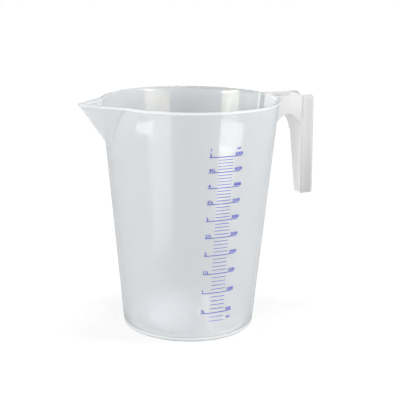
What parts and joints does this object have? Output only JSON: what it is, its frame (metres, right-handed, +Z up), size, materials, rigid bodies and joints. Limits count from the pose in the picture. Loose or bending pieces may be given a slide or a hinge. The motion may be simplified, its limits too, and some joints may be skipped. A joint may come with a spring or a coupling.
{
  "type": "measuring jug",
  "caption": "Tall tapering measuring jug with an open lip spout, a hollow handle on an open-topped arm, and a printed volume scale.",
  "frame": {"origin": "centre of the foot ring's resting plane, on the vessel's axis", "axes": "+Z up along the vessel's axis, +X towards the handle, -X towards the spout; the printed scale faces -Y"},
  "size_m": [0.3026, 0.2092, 0.2712],
  "materials": {
    "moulding": "translucent, satin",
    "ink": "printed"
  },
  "bodies": {
    "root": {"vessel_wall": "moulding", "vessel_floor": "moulding", "foot_ring": "moulding", "rim_bead": "moulding", "spout": "moulding", "handle_arm": "moulding", "handle_grip": "moulding", "litre_marks": "ink", "half_litre_marks": "ink", "part_litre_marks": "ink"}
  },
  "joints": []
}
